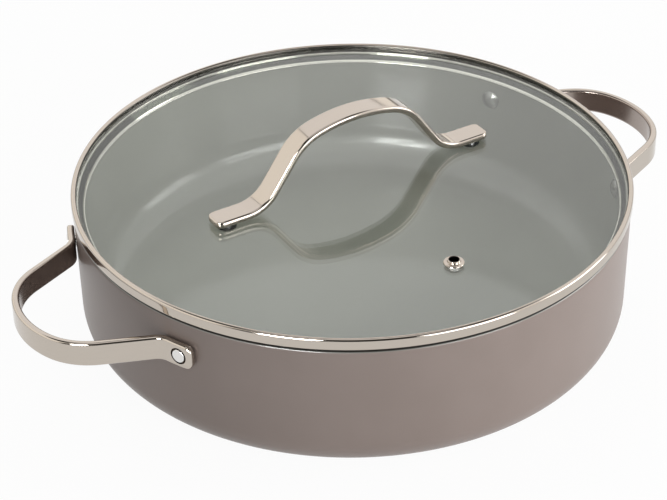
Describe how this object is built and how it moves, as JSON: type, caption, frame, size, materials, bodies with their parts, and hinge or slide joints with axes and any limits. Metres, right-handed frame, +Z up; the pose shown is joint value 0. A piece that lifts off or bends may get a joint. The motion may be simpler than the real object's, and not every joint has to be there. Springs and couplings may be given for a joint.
{
  "type": "shallow casserole pan with lid",
  "caption": "Shallow round casserole pan with loop handles of flat steel strap and a steel-rimmed glass lid with a bow handle and a steam vent, for braising, frying and serving.",
  "frame": {"origin": "centre of the flat underside of the pan, on the surface that it stands on", "axes": "+Z up through the middle of the lid, +X through the middle of both side handles, -Y through the steam vent"},
  "size_m": [0.3744, 0.2864, 0.1178],
  "materials": {
    "coated_aluminium": "satin taupe coating outside, grey-green ceramic coating inside",
    "polished_steel": "polished",
    "plain_steel": "plain rolled",
    "clear_glass": "clear, polished",
    "black_rubber": "matt"
  },
  "bodies": {
    "pan": {"pan_body": "coated_aluminium", "base_plate": "plain_steel", "handle_right": "polished_steel", "handle_left": "polished_steel", "rivet_right_front": "polished_steel", "rivet_right_back": "polished_steel", "rivet_left_front": "polished_steel", "rivet_left_back": "polished_steel"},
    "lid": {"lid_glass": "clear_glass", "lid_rim": "polished_steel", "lid_handle": "polished_steel", "screw_left": "plain_steel", "screw_right": "plain_steel", "gasket_left": "black_rubber", "gasket_right": "black_rubber", "seal_left": "black_rubber", "seal_right": "black_rubber", "washer_left": "plain_steel", "washer_right": "plain_steel", "vent_eyelet": "polished_steel", "vent_washer": "plain_steel"}
  },
  "joints": [
    {"name": "lid_lift", "type": "slide", "parent": "pan", "child": "lid", "axis": [0, 0, 1], "range_m": [0, 0.12]}
  ]
}
